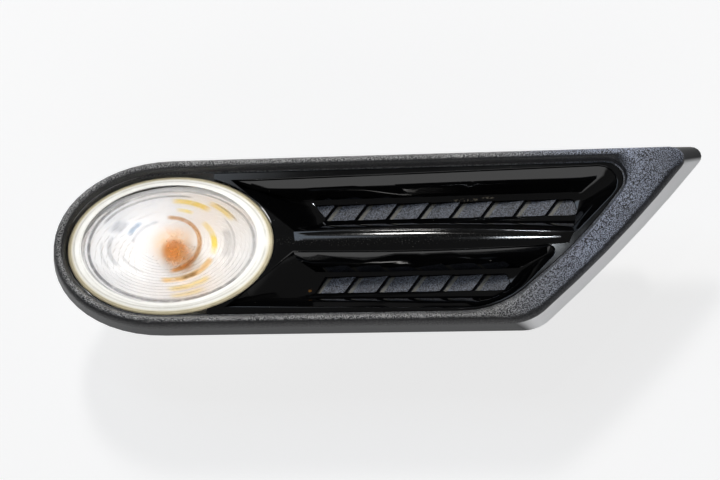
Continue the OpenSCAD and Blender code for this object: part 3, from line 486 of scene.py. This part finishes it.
for node, name, sharp, bevel in (("trim_frame", "trimFrame", 30, 0), ("gloss_finisher", "glossFinisher", 36, 0.18),
                                 ("lamp_housing", "lampHousing", 30, 0), ("bulb_holder", "bulbHolder", 30, 0.15),
                                 ("holder_seal", "holderSeal", 30, 0.2), ("wing_gasket", "wingGasket", 30, 0.1)):
    dressNode(node, name, sharp, bevel)
for i in (1, 2):
    dressNode("contact_blade_%d" % i, "contactBlade%d" % i, 30, 0.08)
    dressNode("lamp_screw_%d" % i, "lampScrew%d" % i, 30, 0.05)
for i in range(1, 6):
    dressNode("finisher_screw_%d" % i, "finisherScrew%d" % i, 30, 0.05)
for i in range(1, 5):
    dressNode("spring_clip_%d" % i, "springClip%d" % i, 25, 0.08)
print("solids dressed")


def ringSolid(name, rows, segments, sharp, slot, replaced, closed=True):
    # tube through rounded rings about the lamp axis; a row is half length, half height, height above
    # the wing and, if given, the power of its corners. Closed: the last ring joins the first
    bm = bmesh.new()
    rings = []
    for a, b, d, *power in rows:
        p = 2 / (power[0] if power else 2)
        ring = []
        for t in (2 * math.pi * i / segments for i in range(segments)):
            c, s = math.cos(t), math.sin(t)
            ring.append(bm.verts.new(((lampX + a * math.copysign(abs(c) ** p, c)) * mm, (wingY - d) * mm,
                                      b * math.copysign(abs(s) ** p, s) * mm)))
        rings.append(ring)
    for j, ring in enumerate(rings if closed else rings[:-1]):
        other = rings[(j + 1) % len(rings)]
        for i in range(segments):
            k = (i + 1) % segments
            bm.faces.new((ring[i], other[i], other[k], ring[k]))
    if not closed:
        bm.faces.new(rings[0])
        bm.faces.new(rings[-1])
    bmesh.ops.remove_doubles(bm, verts=bm.verts, dist=2e-7)
    bmesh.ops.recalc_face_normals(bm, faces=bm.faces)
    mesh = bpy.data.meshes.new(name)
    bm.to_mesh(mesh)
    bm.free()
    smoothByAngle(mesh, sharp)
    return addPiece(mesh, name, slot, replaced)


lens = {"a": 42.6, "b": 29.2, "edge": 2.6, "crown": 8.6, "foot": -1.0, "wall": 2.0, "tongueIn": 1.2,
        "tongue": 1.6, "tongueD": -2.4, "rings": 22, "ringDepth": 0.06, "segments": 144}


def crownAt(k):
    return lens["edge"] + (lens["crown"] - lens["edge"]) * (0.22 * (1 - k ** 12) + 0.78 * (1 - k * k))


innerK = 1 - (lens["tongueIn"] + lens["tongue"]) / lens["b"]
rows = [(lens["a"] - lens["tongueIn"], lens["b"] - lens["tongueIn"], lens["tongueD"]),
        (lens["a"] - lens["tongueIn"], lens["b"] - lens["tongueIn"], lens["foot"]),
        (lens["a"], lens["b"], lens["foot"]), (lens["a"], lens["b"], lens["edge"] - 0.3)]
for k in (0.997, 0.99, 0.98, 0.97, 0.955, 0.94, 0.92, 0.9, 0.87, 0.84, 0.8, 0.75, 0.7, 0.64, 0.58, 0.52, 0.45,
          0.38, 0.3, 0.22, 0.14, 0.07, 0.003):
    rows.append((lens["a"] * k, lens["b"] * k, crownAt(k)))
rows.append((lens["a"] * 0.003, lens["b"] * 0.003, lens["crown"] - lens["wall"]))
for i in range(lens["rings"]):
    for u, deep in ((0.03, 0.0), (0.5, 0.75), (0.97, 1.0)):
        k = 0.05 + (innerK - 0.07) * (i + u) / lens["rings"]
        rows.append((lens["a"] * k, lens["b"] * k, crownAt(k) - lens["wall"] - deep * lens["ringDepth"]))
inA, inB = lens["a"] - lens["tongueIn"] - lens["tongue"], lens["b"] - lens["tongueIn"] - lens["tongue"]
rows += [(inA, inB, lens["edge"] - lens["wall"]), (inA, inB, lens["tongueD"])]
ringSolid("lampLens", rows, lens["segments"], 25, "clear_lens", ["lamp_lens"])

# cream band where the sealant shows through the lens's border, just under its surface
border = {"from": 0.848, "to": 0.992, "under": 0.1, "thick": 0.3}
bandK = [border["from"] + (border["to"] - border["from"]) * i / 8 for i in range(9)]
ringSolid("sealantBand", [(lens["a"] * k, lens["b"] * k, crownAt(k) - border["under"]) for k in bandK]
          + [(lens["a"] * k, lens["b"] * k, crownAt(k) - border["under"] - border["thick"]) for k in bandK[::-1]],
          lens["segments"], 25, "cream_sealant", None)
seal = {"outer": 1.0, "inner": 3.0, "floor": -3.8, "top": -2.4}
ringSolid("lensSeal", [(lens["a"] - o, lens["b"] - o, d) for o, d in (
    (seal["outer"], seal["floor"]), (seal["outer"], seal["top"]), (seal["inner"], seal["top"]),
    (seal["inner"], seal["floor"]))], 96, 30, "cream_sealant", ["lens_seal"])

# stepped bowl, its flange on the housing's lip
bowl = {"out": 4.1, "hole": 8.3, "floor": -20.0, "seat": -1.8, "wall": 1.2, "flange": 3.2, "steps": 15, "step": 0.22}
bowlA, bowlB = lens["a"] - bowl["out"], lens["b"] - bowl["out"]


def bowlRow(u, inset, lift):
    r = bowl["hole"]
    return (bowlA * u + r * (1 - u) - inset * u, bowlB * u + r * (1 - u) - inset * u,
            bowl["floor"] + (bowl["seat"] - bowl["floor"] - 2) * u ** 1.7 + lift)


rows = [bowlRow(i / 12, 0, -bowl["wall"] * (1 - i / 12 * 0.4)) for i in range(12)] + [bowlRow(1, 0, -0.72)]
flangeA, flangeB = lens["a"] - bowl["flange"], lens["b"] - bowl["flange"]
flangeTop = bowl["seat"] + bowl["wall"] * 0.6
rows += [(bowlA, bowlB, bowl["seat"]), (flangeA, flangeB, bowl["seat"]), (flangeA, flangeB, flangeTop),
         (bowlA - 0.96, bowlB - 0.96, flangeTop)]
inside = []
for i in range(bowl["steps"]):
    for u, lift in ((0.0, 0.0), (0.12, bowl["step"]), (0.95, bowl["step"] * 0.4)):
        inside.append(bowlRow((i + u) / bowl["steps"], 0.96, lift))
inside.append(bowlRow(1, 0.96, 0))
rows += inside[::-1]
ringSolid("reflectorBowl", rows, 128, 20, "bright_reflector", ["reflector"])
print("lens, seal and reflector built")

# wedge bulb: rounded capsule pinched to a flat base
bulb = {"radius": 5.0, "tip": -0.8, "shoulder": -19.4, "base": -21.8, "end": -27.6, "wide": 4.3, "thick": 1.2,
        "segments": 48}
rows = []
for t in (4, 15, 30, 45, 60, 75, 90):
    s, c = math.sin(math.radians(t)), math.cos(math.radians(t))
    rows.append((bulb["radius"] * s, bulb["radius"] * s, bulb["tip"] - bulb["radius"] * (1 - c), 2))
for u in (0, 0.2, 0.4, 0.6, 0.8, 1):
    mix = u * u * (3 - 2 * u)
    rows.append((bulb["radius"] + (bulb["wide"] - bulb["radius"]) * mix,
                 bulb["radius"] + (bulb["thick"] - bulb["radius"]) * mix,
                 bulb["shoulder"] + (bulb["base"] - bulb["shoulder"]) * u, 2 + 4 * mix))
rows += [(bulb["wide"], bulb["thick"], bulb["end"] + 0.3, 6),
         (bulb["wide"] - 0.3, bulb["thick"] - 0.3, bulb["end"], 6)]
ringSolid("wedgeBulb", rows, bulb["segments"], 50, "amber_glass", ["bulb"], closed=False)


# node-built repeats and coils, baked to meshes
def bakeTree(tree, name, slot, values):
    host = bpy.data.objects.new(name + "Host", bpy.data.meshes.new(name + "Host"))
    scene.collection.objects.link(host)
    m = host.modifiers.new("build", "NODES")
    m.node_group = tree
    for item in tree.interface.items_tree:
        if item.in_out == "INPUT" and item.name in values:
            m[item.identifier] = values[item.name]
    bpy.context.view_layer.update()
    mesh = bpy.data.meshes.new_from_object(host.evaluated_get(bpy.context.evaluated_depsgraph_get()))
    host.modifiers.remove(m)
    bpy.data.objects.remove(host)
    mesh.name = name
    return addPiece(mesh, name, slot, None)


def endTree(tree, geometry, out, slot):
    real = addNode(tree, "GeometryNodeRealizeInstances", (500, 0))
    paint = addNode(tree, "GeometryNodeSetMaterial", (650, 0))
    tree.links.new(geometry, real.inputs[0])
    tree.links.new(real.outputs[0], paint.inputs["Geometry"])
    paint.inputs["Material"].default_value = finish[slot]
    tree.links.new(paint.outputs[0], out.inputs["Geometry"])


coil = {"Radius": 0.0007, "Turns": 9.0, "Length": 0.0052, "Wire": 0.00016}
coilTree, ci, co = newGroup("filamentCoil",
    [("Radius", "Float", 0.001), ("Turns", "Float", 8.0), ("Length", "Float", 0.005), ("Wire", "Float", 0.0002)],
    [("Geometry", "Geometry")], "GeometryNodeTree")
spiral = addNode(coilTree, "GeometryNodeCurveSpiral")
spiral.inputs["Resolution"].default_value = 16
for name, socket in (("Rotations", "Turns"), ("Start Radius", "Radius"), ("End Radius", "Radius"),
                     ("Height", "Length")):
    coilTree.links.new(ci[socket], spiral.inputs[name])
wire = addNode(coilTree, "GeometryNodeCurvePrimitiveCircle")
wire.inputs["Resolution"].default_value = 8
coilTree.links.new(ci["Wire"], wire.inputs["Radius"])
sweep = addNode(coilTree, "GeometryNodeCurveToMesh")
sweep.inputs["Fill Caps"].default_value = True
coilTree.links.new(spiral.outputs[0], sweep.inputs["Curve"])
coilTree.links.new(wire.outputs[0], sweep.inputs["Profile Curve"])
lay = addNode(coilTree, "GeometryNodeTransform")
lay.inputs["Rotation"].default_value = (0, math.pi / 2, 0)
lay.inputs["Translation"].default_value = (lampX * mm - coil["Length"] / 2, (wingY + 7.5) * mm, 0)
coilTree.links.new(sweep.outputs[0], lay.inputs["Geometry"])
endTree(coilTree, lay.outputs[0], co, "screw_steel")
bakeTree(coilTree, "filamentCoil", "screw_steel", coil)

# finger ribs round the holder's flange, left out where its two ears stand
ribs = {"Radius": 0.0132, "Count": 44, "Width": 0.0008, "Depth": 0.0022, "Reach": 0.0008}
ribTree, ri, ro = newGroup("gripRibs",
    [("Radius", "Float", 0.01), ("Count", "Int", 40), ("Width", "Float", 0.001), ("Depth", "Float", 0.002),
     ("Reach", "Float", 0.001)], [("Geometry", "Geometry")], "GeometryNodeTree")
circle = addNode(ribTree, "GeometryNodeMeshCircle")
ribTree.links.new(ri["Count"], circle.inputs["Vertices"])
ribTree.links.new(ri["Radius"], circle.inputs["Radius"])
size = addNode(ribTree, "ShaderNodeCombineXYZ")
for axis, socket in (("X", "Reach"), ("Y", "Width"), ("Z", "Depth")):
    ribTree.links.new(ri[socket], size.inputs[axis])
block = addNode(ribTree, "GeometryNodeMeshCube")
ribTree.links.new(size.outputs[0], block.inputs["Size"])
spot = addNode(ribTree, "GeometryNodeInputPosition")
turn = addNode(ribTree, "FunctionNodeAlignRotationToVector", axis="X")
ribTree.links.new(spot.outputs[0], turn.inputs["Vector"])
keep = mathNode(ribTree, "GREATER_THAN", mathNode(ribTree, "ABSOLUTE", axes(ribTree, spot.outputs[0])["Y"]), 0.0032)
copies = addNode(ribTree, "GeometryNodeInstanceOnPoints")
for socket, link in (("Points", circle.outputs[0]), ("Selection", keep), ("Instance", block.outputs[0]),
                     ("Rotation", turn.outputs[0])):
    ribTree.links.new(link, copies.inputs[socket])
lay = addNode(ribTree, "GeometryNodeTransform")
lay.inputs["Rotation"].default_value = (math.pi / 2, 0, 0)
lay.inputs["Translation"].default_value = (lampX * mm, (wingY + 30.1) * mm, 0)
ribTree.links.new(copies.outputs[0], lay.inputs["Geometry"])
endTree(ribTree, lay.outputs[0], ro, "holder_plastic")
bakeTree(ribTree, "gripRibs", "holder_plastic", ribs)
print("bulb, filament and grip ribs built")


# pale backdrop behind the part
backdrop = {"size": 3.0, "y": 0.0345, "color": (0.38, 0.38, 0.38), "glow": 0.74}
bm = bmesh.new()
s = backdrop["size"]
bm.faces.new([bm.verts.new((x * s, backdrop["y"], z * s)) for x, z in ((-1, -1), (1, -1), (1, 1), (-1, 1))])
mesh = bpy.data.meshes.new("paleBackdrop")
bm.to_mesh(mesh)
bm.free()
stageObj = bpy.data.objects.new("paleBackdrop", mesh)
scene.collection.objects.link(stageObj)
paper, tree, shader, where = newMaterial("palePaper", backdrop["color"], 0.9, Emission_Color=(1, 1, 1, 1))
feed(tree, shader, Base_Color=mixColor(tree, noise(tree, where, 9, 3), backdrop["color"], (0.36, 0.365, 0.375)))
shader.inputs["Emission Strength"].default_value = backdrop["glow"]
back = addNode(tree, "ShaderNodeNewGeometry")
clear = addNode(tree, "ShaderNodeBsdfTransparent")
mix = addNode(tree, "ShaderNodeMixShader")
tree.links.new(back.outputs["Backfacing"], mix.inputs[0])
tree.links.new(shader.outputs[0], mix.inputs[1])
tree.links.new(clear.outputs[0], mix.inputs[2])
tree.links.new(mix.outputs[0], tree.nodes["Material Output"].inputs["Surface"])
mesh.materials.append(paper)

# dark room with a bright floor, a narrow bright ceiling and a bluish window to the upper left
room = {"dark": 0.1, "below": 1.1, "above": 0.2, "back": 0.95, "window": 2.2, "windowAt": (-0.35, -0.8, 0.484),
        "windowColor": (0.72, 0.84, 1.0), "paper": 0.95, "inLamp": 2.5}
world = bpy.data.worlds.new("softRoom")
scene.world = world
world.use_nodes = True
tree = world.node_tree
sky = tree.nodes["Background"]
way = addNode(tree, "ShaderNodeTexCoord").outputs["Generated"]
x, y, z = axes(tree, way)
glow = mathNode(tree, "MAXIMUM", times(tree, remap(tree, z, -0.64, -0.88, smooth=True), room["below"]),
                times(tree, remap(tree, z, 0.76, 0.92, smooth=True), room["above"]))
glow = mathNode(tree, "MAXIMUM", glow, times(tree, remap(tree, y, -0.05, 0.2, smooth=True), room["back"]))
toWindow = vectorMath(tree, "DOT_PRODUCT", way, Vector(room["windowAt"]).normalized())
window = remap(tree, toWindow, 0.965, 0.985, smooth=True)
glow = mathNode(tree, "MAXIMUM", mathNode(tree, "MAXIMUM", glow, times(tree, window, room["window"])), room["dark"])
path = addNode(tree, "ShaderNodeLightPath")
pale = mathNode(tree, "MAXIMUM", times(tree, path.outputs["Is Camera Ray"], room["paper"]),
                times(tree, path.outputs["Is Transmission Ray"], room["inLamp"]))
tree.links.new(mixColor(tree, window, (1.0, 1.0, 1.0), room["windowColor"]), sky.inputs["Color"])
tree.links.new(mathNode(tree, "MAXIMUM", glow, pale), sky.inputs["Strength"])


def softLamp(name, place, target, width, height, power, color, spared):
    # an elliptical lamp that leaves the spared pieces unlit
    light = bpy.data.lights.new(name, "AREA")
    light.shape = "ELLIPSE"
    light.size, light.size_y, light.energy, light.color = width, height, power, color
    obj = bpy.data.objects.new(name, light)
    scene.collection.objects.link(obj)
    obj.location = place
    obj.rotation_euler = (Vector(target) - Vector(place)).to_track_quat("-Z", "Y").to_euler()
    dark = bpy.data.collections.new(name + "Spared")
    for piece in spared:
        dark.objects.link(bpy.data.objects[piece])
    obj.light_linking.receiver_collection = dark
    for item in dark.collection_objects:
        item.light_linking.link_state = "EXCLUDE"
    return obj


softLamp("keyLamp", (-0.17, -1.31, 1.24), (0, 0, 0), 0.26, 0.3, 10, (1.0, 0.98, 0.95),
         ["lampLens", "glossFinisher"])
softLamp("crestLamp", (-0.17, -1.3, 1.23), (0, 0, 0), 0.09, 0.1, 1.8, (1.0, 0.98, 0.95), ["lampLens"])
softLamp("windowLamp", (0.01, -1.724, 0.577), (0.06, 0, 0), 0.07, 0.013, 0.6, (0.88, 0.94, 1.0), ["lampLens"])

# camera fitted to the outline in the photograph, 720 x 480
view = {"place": (0.08645, -0.61387, -0.19904), "azimuth": 8.197, "elevation": -18.201, "roll": 1.306,
        "lens": 80.86}
az, el, roll = (math.radians(view[k]) for k in ("azimuth", "elevation", "roll"))
toCamera = Vector((math.sin(az) * math.cos(el), -math.cos(az) * math.cos(el), math.sin(el)))
right = Vector((math.cos(az), math.sin(az), 0))
up = right.cross(-toCamera)
right, up = right * math.cos(roll) + up * math.sin(roll), up * math.cos(roll) - right * math.sin(roll)
camera = bpy.data.cameras.new("photoCamera")
camera.lens = view["lens"]
camera.sensor_width = 36
camera.clip_end = 20
cameraObj = bpy.data.objects.new("photoCamera", camera)
scene.collection.objects.link(cameraObj)
turn = Matrix((right, up, toCamera)).transposed().to_4x4()
cameraObj.matrix_world = Matrix.Translation(Vector(view["place"])) @ turn
scene.camera = cameraObj
scene.view_settings.view_transform = "Standard"
print("stage set")
